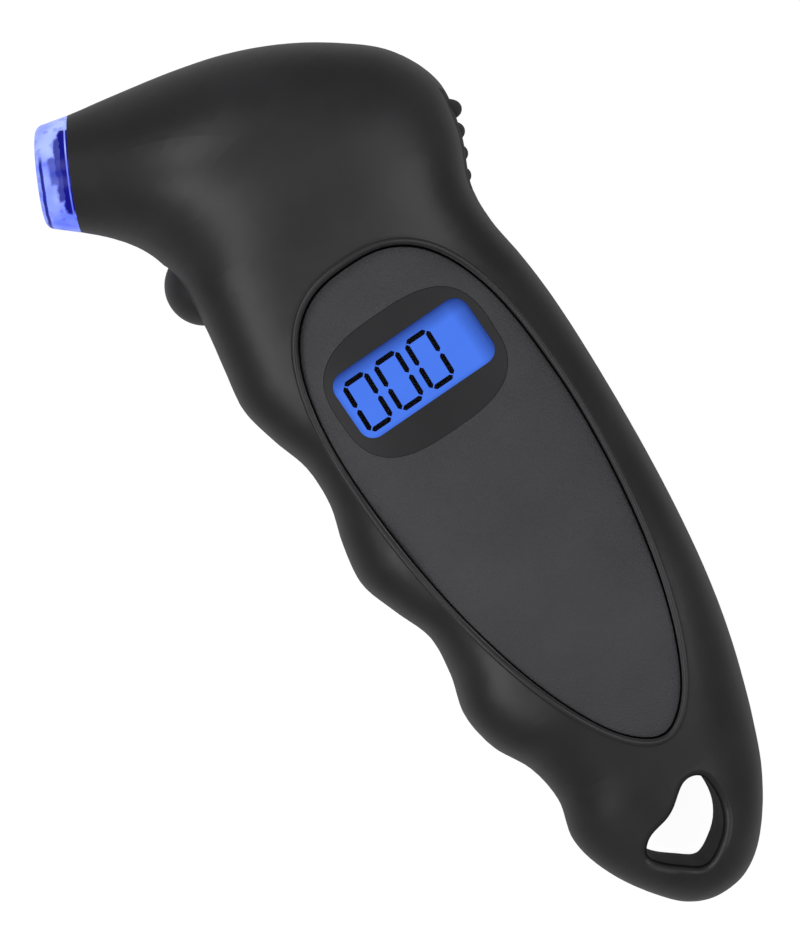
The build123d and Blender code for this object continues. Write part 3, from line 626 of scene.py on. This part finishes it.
class Finish(Enum):
    """Every finish of the gauge."""

    SOFT_TOUCH = Moulded("soft_touch_black", (0.0115, 0.0112, 0.0132), 0.4, 0.22, 0.008, parting=PARTING)
    COVER = Moulded("cover_black", (0.0115, 0.0112, 0.0132), 0.42, 0.22, 0.01)
    PANEL = Moulded("panel_grain_painted_glints", (0.033, 0.033, 0.0375), 0.5, 0.26, 0.12, drift=0.2, painted_glints=2.4)
    BEZEL = Moulded("bezel_satin", (0.016, 0.016, 0.018), 0.42, 0.5, 0.004, specular=0.3)
    TRIGGER = Moulded("trigger_satin", (0.013, 0.013, 0.015), 0.34, 0.4, 0.004)
    PAD = Moulded("pad_matt", (0.011, 0.011, 0.0125), 0.62, 0.18, 0.015, specular=0.35)
    TRAY = Moulded("tray_matt", (0.02, 0.02, 0.021), 0.5, 0.3, 0.01)
    CHIP = Moulded("chip_resin", (0.012, 0.012, 0.013), 0.38, 0.15, 0.006)
    SEAL = Moulded("seal_soft", (0.01, 0.01, 0.01), 0.6, 0.2, 0.01)
    STRIP = Moulded("strip_soft", (0.28, 0.28, 0.3), 0.6, 0.3, 0.01)
    WHITE = Moulded("moulded_white", (0.72, 0.72, 0.7), 0.45, 0.3, 0.008, drift=0.03)
    GUIDE = Moulded("light_guide", (0.62, 0.7, 0.85), 0.3, 0.5, 0.004, drift=0.03)
    BOARD = Coated("board_coat", (0.012, 0.09, 0.03))
    BRASS = Metal("turned_brass", (0.66, 0.45, 0.16), 0.28)
    STEEL = Metal("zinc_steel", (0.55, 0.56, 0.58), 0.32)
    CELL = Metal("cell_can", (0.62, 0.62, 0.6), 0.25)
    CONTACT = Metal("contact_plate", (0.68, 0.66, 0.6), 0.22)
    WINDOW = Clear("window_film", (0.02, 0.02, 0.03), 0.05)
    NOZZLE = Tip(
        "nozzle_tint_painted_glow", (-21.8, 64.4), 152.0,
        pale=from_screen(168, 184, 255), middle=from_screen(96, 116, 246), deep=from_screen(10, 10, 120))
    LAMP = Clear("lamp_tint", (0.2, 0.3, 1.0), 0.08, cover=0.9)
    DISPLAY = Lit(
        "display_glow", from_screen(75, 125, 244), from_screen(14, 26, 88), WINDOW_CENTRE, (11.15, 5.2))
    SEGMENT = Moulded("segment_black", (0.0005, 0.0005, 0.002), 0.5, 0.5, 0.0004, specular=0.01)

    def material(self) -> bpy.types.Material:
        """The one material of this finish, made at its first use.

        Returns:
            The material.
        """
        if self not in MADE:
            MADE[self] = self.value.make()
        return MADE[self]


MADE: dict[Finish, bpy.types.Material] = {}


def dress(node: str, finish: Finish) -> None:
    """Gives a carried-over solid its finish.

    Args:
        node: The solid's name.
        finish: The finish that it gets.
    """
    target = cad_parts[node]
    target.data.materials.clear()
    target.data.materials.append(finish.material())
    LOG.info("%s dressed in %s", node, finish.value.name)


def new_piece(
    name: str, mesh: bpy.types.Mesh, finish: Finish, body: str = "housing"
) -> bpy.types.Object:
    """Adds one piece that rides on a body.

    Args:
        name: The piece's name.
        mesh: Its mesh, in metres.
        finish: The finish that it gets.
        body: The body that carries it.

    Returns:
        The new object.
    """
    piece = bpy.data.objects.new(name, mesh)
    bpy.context.scene.collection.objects.link(piece)
    mesh.materials.append(finish.material())
    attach(piece, body)
    LOG.info("%s made, %d faces", name, len(mesh.polygons))
    return piece


# Sub-assemblies


@dataclass
class Carried:
    """The solids that keep their shape and only get a finish."""

    finishes: dict[str, Finish] = field(default_factory=lambda: {
        "front_shell": Finish.SOFT_TOUCH,
        "rear_shell": Finish.SOFT_TOUCH,
        "face_panel": Finish.PANEL,
        "window_bezel": Finish.BEZEL,
        "lcd_glass": Finish.DISPLAY,
        "backlight": Finish.GUIDE,
        "contact_strip": Finish.STRIP,
        "display_frame": Finish.WHITE,
        "circuit_board": Finish.BOARD,
        "chip_cover": Finish.CHIP,
        "board_screws": Finish.STEEL,
        "nozzle_tip": Finish.NOZZLE,
        "nozzle_lights": Finish.LAMP,
        "nozzle_seal": Finish.SEAL,
        "valve_pin": Finish.BRASS,
        "air_chamber": Finish.BRASS,
        "sensor_seal": Finish.SEAL,
        "pressure_sensor": Finish.CONTACT,
        "sensor_board": Finish.BOARD,
        "trigger_button": Finish.TRIGGER,
        "switch_case": Finish.CHIP,
        "switch_plunger": Finish.WHITE,
        "switch_board": Finish.BOARD,
        "thumb_pad": Finish.PAD,
        "battery_tray": Finish.TRAY,
        "coin_cell": Finish.CELL,
        "button_cells": Finish.CELL,
        "battery_contacts": Finish.CONTACT,
        "battery_cover": Finish.COVER,
    })

    def build(self) -> None:
        """Dresses every solid."""
        for node, finish in self.finishes.items():
            dress(node, finish)


def bridge(
    build: bmesh.types.BMesh, lower: Sequence[bmesh.types.BMVert], upper: Sequence[bmesh.types.BMVert]
) -> None:
    """Joins two rings of as many points with four-sided faces.

    Args:
        build: The mesh under construction.
        lower: The first ring.
        upper: The second ring.
    """
    count = len(lower)
    for index in range(count):
        following = (index + 1) % count
        build.faces.new((lower[index], lower[following], upper[following], upper[index]))


def resample(points: Sequence[Point], count: int) -> list[Point]:
    """Spreads points evenly along a closed line.

    Args:
        points: The line's points in order.
        count: How many points come back.

    Returns:
        The evenly spread points.
    """
    closed = [Vector(point) for point in points] + [Vector(points[0])]
    lengths = [0.0]
    for start, end in zip(closed, closed[1:]):
        lengths.append(lengths[-1] + (end - start).length)
    spread = []
    segment = 0
    for index in range(count):
        target = lengths[-1] * index / count
        while lengths[segment + 1] < target:
            segment += 1
        share = (target - lengths[segment]) / (lengths[segment + 1] - lengths[segment])
        place = closed[segment].lerp(closed[segment + 1], share)
        spread.append((place.x, place.y))
    return spread


def to_mesh(build: bmesh.types.BMesh, name: str, smooth: bool = True) -> bpy.types.Mesh:
    """Closes a mesh under construction.

    Args:
        build: The mesh under construction.
        name: The name of the mesh.
        smooth: Whether its faces are shaded smoothly.

    Returns:
        The finished mesh.
    """
    bmesh.ops.recalc_face_normals(build, faces=build.faces)
    mesh = bpy.data.meshes.new(name)
    build.to_mesh(mesh)
    build.free()
    if smooth:
        mesh.shade_smooth()
        mesh.set_sharp_from_angle(angle=SHARP_ANGLE)
    return mesh


@dataclass
class Digits:
    """The lit figures of the display: three noughts of six strokes each."""

    left: float = -7.88
    pitch: float = 5.25
    width: float = 4.3
    low: float = 9.64
    tall: float = 8.15
    lean: float = 0.045
    stroke: float = 0.76
    gap: float = 0.13
    height: float = 22.76
    count: int = 3

    def _stroke(self, build: bmesh.types.BMesh, start: Point, end: Point) -> None:
        """Adds one stroke with pointed ends.

        Args:
            build: The mesh under construction.
            start: One end of its centre line, in millimetres.
            end: The other end.
        """
        along = (Vector(end) - Vector(start)).normalized()
        side = Vector((-along.y, along.x)) * (self.stroke / 2)
        first = Vector(start) + along * self.gap
        last = Vector(end) - along * self.gap
        half = along * (self.stroke / 2)
        outline = (
            first, first + half + side, last - half + side, last, last - half - side, first + half - side)
        middle = self.low + self.tall / 2
        leaning = [(point.x + self.lean * (point.y - middle), point.y) for point in outline]
        build.faces.new([build.verts.new((x * MM, y * MM, self.height * MM)) for x, y in leaning])

    def build(self) -> None:
        """Builds the figures."""
        build = bmesh.new()
        for index in range(self.count):
            x0 = self.left + index * self.pitch + self.stroke / 2
            x1 = x0 + self.width - self.stroke
            y0 = self.low + self.stroke / 2
            y2 = y0 + self.tall - self.stroke
            y1 = (y0 + y2) / 2
            for start, end in (
                ((x0, y0), (x1, y0)), ((x0, y2), (x1, y2)), ((x0, y0), (x0, y1)),
                ((x0, y1), (x0, y2)), ((x1, y0), (x1, y1)), ((x1, y1), (x1, y2)),
            ):
                self._stroke(build, start, end)
        mesh = to_mesh(build, "display_digits", smooth=False)
        new_piece("display_digits", mesh, Finish.SEGMENT)


def rounded_outline(centre: Point, half: Point, corner: float, steps: int = 8) -> list[Point]:
    """The outline of a rectangle with round corners.

    Args:
        centre: Its centre.
        half: Half its width and half its height.
        corner: The radius of its corners.
        steps: How many edges each corner has.

    Returns:
        The outline's points in order.
    """
    points = []
    for index, (sx, sy) in enumerate(((1, 1), (-1, 1), (-1, -1), (1, -1))):
        for step in range(steps + 1):
            turn = math.pi / 2 * (index + step / steps)
            x = centre[0] + sx * (half[0] - corner) + corner * math.cos(turn)
            y = centre[1] + sy * (half[1] - corner) + corner * math.sin(turn)
            points.append((x, y))
    return points


@dataclass
class Pane:
    """The clear window, with a small gap over the display glass and a softened upper edge."""

    centre: Point = WINDOW_CENTRE
    half: Point = (12.4, 6.45)
    corner: float = 2.15
    low: float = 22.86
    high: float = 23.68
    edge: float = 0.12

    def build(self) -> None:
        """Builds the window."""
        build = bmesh.new()
        levels = ((self.low, 0.0), (self.high - self.edge, 0.0), (self.high, self.edge))
        rings = []
        for height, inset in levels:
            half = (self.half[0] - inset, self.half[1] - inset)
            outline = rounded_outline(self.centre, half, self.corner - inset)
            rings.append([build.verts.new((x * MM, y * MM, height * MM)) for x, y in outline])
        for lower, upper in zip(rings, rings[1:]):
            bridge(build, lower, upper)
        build.faces.new(reversed(rings[0]))
        build.faces.new(rings[-1])
        pane = new_piece("window_pane", to_mesh(build, "window_pane"), Finish.WINDOW)
        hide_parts("display_window")


@dataclass
class Screws:
    """Screws with a domed head, a cross recess and a plain shank."""

    name: str
    node: str
    places: Sequence[Point]
    head_low: float
    seat: float
    end: float
    head: float = 2.05
    shank: float = 1.08
    arm: float = 1.15
    arm_half: float = 0.3
    recess: float = 0.5
    recess_taper: float = 0.7
    dome_rise: float = 0.1
    dome_height: float = 0.35
    face_inset: float = 0.45
    shoulder: float = 0.12
    point: float = 0.5
    point_share: float = 0.55
    sides: int = 40

    @staticmethod
    def _ring(
        build: bmesh.types.BMesh, centre: Point, outline: Sequence[Point], height: float
    ) -> list[bmesh.types.BMVert]:
        """Adds the points of one outline round a centre.

        Args:
            build: The mesh under construction.
            centre: The screw's axis.
            outline: The points, measured from the axis.
            height: The height of the ring.

        Returns:
            The ring's points in order.
        """
        placed = [(centre[0] + x, centre[1] + y) for x, y in outline]
        return [build.verts.new((x * MM, y * MM, height * MM)) for x, y in placed]

    def _circle(self, radius: float) -> list[Point]:
        """The outline of one circle about the axis.

        Args:
            radius: Its radius.

        Returns:
            Its points in order.
        """
        turns = [2 * math.pi * index / self.sides for index in range(self.sides)]
        return [(radius * math.cos(turn), radius * math.sin(turn)) for turn in turns]

    def _cross(self, share: float) -> list[Point]:
        """The outline of the cross recess.

        Args:
            share: Its size, as a share of the size at the head's face.

        Returns:
            Its twelve points in order.
        """
        long, thin = self.arm * share, self.arm_half * share
        outline = []
        for index in range(4):
            turn = math.pi / 2 * index
            cosine, sine = math.cos(turn), math.sin(turn)
            for x, y in ((thin, thin), (thin, long), (-thin, long)):
                outline.append((x * cosine - y * sine, x * sine + y * cosine))
        return outline

    def _screw(self, build: bmesh.types.BMesh, centre: Point) -> None:
        """Adds one screw, head down.

        Args:
            build: The mesh under construction.
            centre: The screw's axis.
        """
        low = self.head_low
        profile = (
            (self.head - self.face_inset, low),
            (self.head - self.shoulder, low + self.dome_rise),
            (self.head, low + self.dome_height),
            (self.head, self.seat),
            (self.shank, self.seat),
            (self.shank, self.end - self.point),
            (self.shank * self.point_share, self.end),
        )
        rings = [self._ring(build, centre, self._circle(radius), height) for radius, height in profile]
        for lower, upper in zip(rings, rings[1:]):
            bridge(build, lower, upper)
        build.faces.new(rings[-1])
        mouth = self._ring(build, centre, self._cross(1.0), low)
        floor = self._ring(build, centre, self._cross(self.recess_taper), low + self.recess)
        bridge(build, mouth, floor)
        build.faces.new(floor)
        edges = [build.edges.get((a, b)) for a, b in zip(rings[0], rings[0][1:] + rings[0][:1])]
        edges += [build.edges.get((a, b)) for a, b in zip(mouth, mouth[1:] + mouth[:1])]
        bmesh.ops.triangle_fill(build, edges=edges, use_beauty=True)

    def build(self) -> None:
        """Builds the screws."""
        build = bmesh.new()
        for centre in self.places:
            self._screw(build, centre)
        piece = new_piece(self.name, to_mesh(build, self.name), Finish.STEEL)
        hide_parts(self.node)


@dataclass
class Bead:
    """The round crest of the bead that runs round the face panel."""

    centre: Point = (2.3, 2.3)
    half_width: float = 15.8
    above: float = 28.3
    below: float = 50.0
    powers: Point = (2 / 2.65, 2 / 1.82)
    offset: float = 0.8
    half: float = 0.5
    lift: float = 0.2
    sunk: float = 0.12
    count: int = 260
    profile: int = 7
    probe: float = 100.0

    def _path(self) -> list[Point]:
        """The middle of the bead, seen from the front.

        Returns:
            Its points in order.
        """
        points = []
        for index in range(self.count):
            turn = 2 * math.pi * index / self.count
            up = math.sin(turn) >= 0
            reach, power = (self.above, self.powers[0]) if up else (self.below, self.powers[1])
            x = math.copysign(abs(math.cos(turn)) ** power, math.cos(turn))
            y = math.copysign(abs(math.sin(turn)) ** power, math.sin(turn))
            points.append((self.centre[0] + self.half_width * x, self.centre[1] + reach * y))
        return points

    def _row(
        self, build: bmesh.types.BMesh, middle: Vector, out: Vector, top: float
    ) -> list[bmesh.types.BMVert]:
        """Adds the points across the crest at one place.

        Args:
            build: The mesh under construction.
            middle: The middle of the crest there.
            out: The direction away from the panel.
            top: The height of the shell's bead there.

        Returns:
            The points in order, from the panel outwards.
        """
        row = []
        for step in range(self.profile):
            turn = math.pi * step / (self.profile - 1)
            place = middle - out * (self.half * math.cos(turn))
            height = top - self.sunk + (self.lift + self.sunk) * math.sin(turn)
            row.append(build.verts.new((place.x * MM, place.y * MM, height * MM)))
        return row

    def build(self) -> None:
        """Builds the crest along the top of the front shell's bead."""
        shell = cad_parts["front_shell"]
        tree = BVHTree.FromObject(shell, bpy.context.evaluated_depsgraph_get())
        to_local = shell.matrix_world.inverted()
        path = resample(self._path(), self.count)
        build = bmesh.new()
        rows = []
        for index, point in enumerate(path):
            before, after = Vector(path[index - 1]), Vector(path[(index + 1) % len(path)])
            along = (after - before).normalized()
            out = Vector((along.y, -along.x))
            middle = Vector(point) + out * self.offset
            start = to_local @ (Vector((middle.x, middle.y, self.probe)) * MM)
            hit = tree.ray_cast(start, Vector((0, 0, -1)))[0]
            rows.append(self._row(build, middle, out, (shell.matrix_world @ hit).z / MM))
        for row, following in zip(rows, rows[1:] + rows[:1]):
            for step in range(self.profile - 1):
                build.faces.new((row[step], following[step], following[step + 1], row[step + 1]))
        new_piece("bead_crest", to_mesh(build, "bead_crest"), Finish.SOFT_TOUCH)


@dataclass(frozen=True)
class Lamp:
    """One soft round lamp that faces the gauge, in metres and watts."""

    name: str
    place: tuple[float, float, float]
    size: float
    power: float

    def build(self) -> None:
        """Builds the lamp."""
        data = bpy.data.lights.new(self.name, "AREA")
        data.shape = "DISK"
        data.size = self.size
        data.energy = self.power
        lamp = bpy.data.objects.new(self.name, data)
        lamp.location = self.place
        lamp.rotation_euler = Vector(self.place).to_track_quat("Z", "Y").to_euler()
        bpy.context.scene.collection.objects.link(lamp)


@dataclass
class Studio:
    """The white table, the soft lights and the camera of the photograph."""

    aim: Point = (-7.6, 3.0)
    turn: float = -34.4
    distance: float = 470.0
    parting: float = PARTING
    tall: float = 135.0
    sensor: float = 36.0
    floor_half: float = 3000.0
    floor_gap: float = 0.1
    floor_grey: float = 0.9
    floor_mirrored: float = 0.6
    floor_glow: float = 1.13
    floor_share: float = 0.84
    sky: float = 0.38
    lamps: tuple[Lamp, ...] = (
        Lamp("lamp_head", (-0.24, 0.42, 0.75), 0.34, 1.1),
        Lamp("lamp_neck", (-0.42, 0.0, 0.7), 0.34, 1.1),
        Lamp("lamp_palm", (0.36, -0.2, 0.8), 0.5, 1.4),
    )

    def _camera(self) -> None:
        """Sets the camera at the photograph's viewpoint."""
        data = bpy.data.cameras.new("camera")
        data.sensor_width = self.sensor
        data.lens = self.sensor / 2 / (self.tall / 2 / self.distance)
        camera = bpy.data.objects.new("camera", data)
        camera.location = (self.aim[0] * MM, self.aim[1] * MM, (self.parting + self.distance) * MM)
        camera.rotation_euler = (0.0, 0.0, math.radians(self.turn))
        bpy.context.scene.collection.objects.link(camera)
        bpy.context.scene.camera = camera

    def _floor(self) -> None:
        """Lays the table: white to the camera, dimmer in reflections, and still with the gauge's shadow."""
        mesh = bpy.data.meshes.new("table")
        half, low = self.floor_half * MM, -self.floor_gap * MM
        corners = [(-half, -half, low), (half, -half, low), (half, half, low), (-half, half, low)]
        mesh.from_pydata(corners, [], [(0, 1, 2, 3)])
        table = bpy.data.objects.new("table", mesh)
        bpy.context.scene.collection.objects.link(table)
        graph = Graph("table_white")
        matt = graph.add("ShaderNodeBsdfDiffuse", {}, {"Color": (*[self.floor_grey] * 3, 1.0)})
        dim = graph.add("ShaderNodeBsdfDiffuse", {}, {"Color": (*[self.floor_mirrored] * 3, 1.0)})
        glow = graph.add("ShaderNodeEmission", {}, {"Strength": self.floor_glow})
        ray = graph.add("ShaderNodeLightPath")
        glossy = Value(graph, ray.outputs["Is Glossy Ray"])
        under = graph.add("ShaderNodeMixShader", {}, {"Fac": glossy, 1: matt.outputs[0], 2: dim.outputs[0]})
        seen = Value(graph, ray.outputs["Is Camera Ray"])
        seen = seen.larger(Value(graph, ray.outputs["Is Transmission Ray"]))
        inputs = {"Fac": seen * self.floor_share, 1: under.outputs[0], 2: glow.outputs[0]}
        mixed = graph.add("ShaderNodeMixShader", {}, inputs)
        graph.add("ShaderNodeOutputMaterial", {}, {"Surface": mixed.outputs[0]})
        mesh.materials.append(graph.material)

    def _world(self) -> None:
        """Sets the even light from all round."""
        world = bpy.data.worlds.new("studio")
        bpy.context.scene.world = world
        world.use_nodes = True
        back = world.node_tree.nodes["Background"]
        back.inputs["Color"].default_value = (1.0, 1.0, 1.0, 1.0)
        back.inputs["Strength"].default_value = self.sky

    def build(self) -> None:
        """Builds the studio."""
        self._camera()
        self._floor()
        self._world()
        for lamp in self.lamps:
            lamp.build()
        bpy.context.scene.view_settings.view_transform = "Standard"


# Axes of the screws, on the back
SHELL_SCREWS = ((0.4, 63.4), (17.6, 49.6), (-15.2, 24.0), (-8.6, -49.4), (9.4, -48.4))
BAY_SCREW = ((2.0, -40.0),)


def main() -> None:
    """Builds the gauge's dress in order and reports each piece."""
    logging.basicConfig(level=logging.INFO, format="%(message)s")
    Studio().build()
    Carried().build()
    Digits().build()
    Pane().build()
    Bead().build()
    Screws("shell_screws", "case_screws", SHELL_SCREWS, head_low=6.0, seat=7.5, end=16.5).build()
    Screws("bay_screw", "cover_screw", BAY_SCREW, head_low=0.2, seat=1.1, end=8.5).build()


if __name__ == "__main__":
    main()
